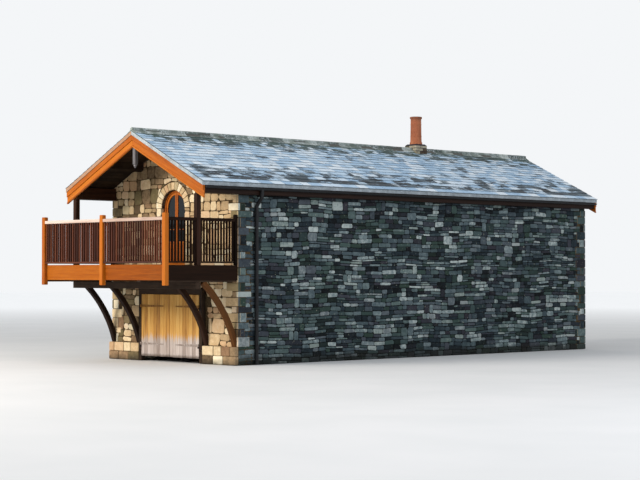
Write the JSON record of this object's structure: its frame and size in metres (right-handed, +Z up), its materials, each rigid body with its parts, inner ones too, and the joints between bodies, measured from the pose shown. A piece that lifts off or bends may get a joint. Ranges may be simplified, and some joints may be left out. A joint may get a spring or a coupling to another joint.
{
  "type": "lakeside boathouse with balcony",
  "caption": "Stone lakeside boathouse with a slate roof, wet dock doors, an upper room and a timber balcony on curved braces under a gabled porch.",
  "frame": {"origin": "centre of the whole building's footprint, at the foot of the walls, which is the water level", "axes": "+Z up, +Y along the ridge away from the lake, -Y is the lake front with the balcony, +X to the right seen from the lake"},
  "size_m": [6.1, 17.45, 7.3],
  "materials": {
    "rubble_stone": "random slate rubble in mortar, matte",
    "roof_slate": "blue-grey slates with frost, matte",
    "ridge_tile": "pale fired clay, matte",
    "terracotta": "unglazed terracotta, matte",
    "orange_timber": "orange-stained timber, satin",
    "railing_timber": "red-brown stained timber, satin",
    "porch_timber": "dark stained timber, satin",
    "dark_timber": "dark weathered timber, matte",
    "grey_timber": "silvered timber, matte",
    "door_planks": "ochre boards bleached at the foot, matte",
    "deck_boards": "weathered grooved boards, matte",
    "floor_boards": "worn boards, satin",
    "brown_paint": "dark brown paint, satin",
    "black_metal": "black paint, satin",
    "black_iron": "blacked iron, matte",
    "window_glass": "clear glass, gloss"
  },
  "bodies": {
    "boathouse": {"apex_pendant": "grey_timber", "arched_door_frame": "orange_timber", "arched_door_glass": "window_glass", "arched_door_leaves": "orange_timber", "balcony_beams": "dark_timber", "balcony_braces": "dark_timber", "balcony_cross_beam": "dark_timber", "balcony_deck": "deck_boards", "balcony_fascia": "orange_timber", "balcony_joists": "dark_timber", "balcony_posts": "orange_timber", "boat_door_head": "dark_timber", "boat_door_posts": "dark_timber", "chimney_base": "rubble_stone", "chimney_pot": "terracotta", "downpipe_left": "black_metal", "downpipe_right": "black_metal", "eaves_board_left": "brown_paint", "eaves_board_right": "brown_paint", "floor_beams": "dark_timber", "floor_ledgers": "dark_timber", "front_bargeboard_left": "orange_timber", "front_bargeboard_right": "orange_timber", "front_pier_left": "rubble_stone", "front_pier_right": "rubble_stone", "front_wall_upper": "rubble_stone", "gutter_left": "black_metal", "gutter_right": "black_metal", "pintles": "black_iron", "porch_eaves_beams": "dark_timber", "porch_posts": "porch_timber", "purlins": "dark_timber", "railing_front": "railing_timber", "railing_left": "railing_timber", "railing_right": "railing_timber", "rear_bargeboards": "orange_timber", "rear_wall": "rubble_stone", "rear_window_frame": "orange_timber", "rear_window_glass": "window_glass", "ridge_beam": "dark_timber", "ridge_tiles": "ridge_tile", "roof_slope_left": "roof_slate", "roof_slope_right": "roof_slate", "side_wall_left": "rubble_stone", "side_wall_right": "rubble_stone", "upper_floor": "floor_boards", "wall_lintel": "dark_timber"},
    "boat_door_left": {"boat_door_left": "door_planks", "strap_hinges_left": "black_iron"},
    "boat_door_right": {"boat_door_right": "door_planks", "strap_hinges_right": "black_iron"}
  },
  "joints": [
    {"name": "boat_door_left_hinge", "type": "hinge", "parent": "boathouse", "child": "boat_door_left", "pos_m": [-1.245, -6.4195, 1], "axis": [0, 0, -1], "range_deg": [0, 90]},
    {"name": "boat_door_right_hinge", "type": "hinge", "parent": "boathouse", "child": "boat_door_right", "pos_m": [1.245, -6.4195, 1], "axis": [0, 0, 1], "range_deg": [0, 90]}
  ]
}
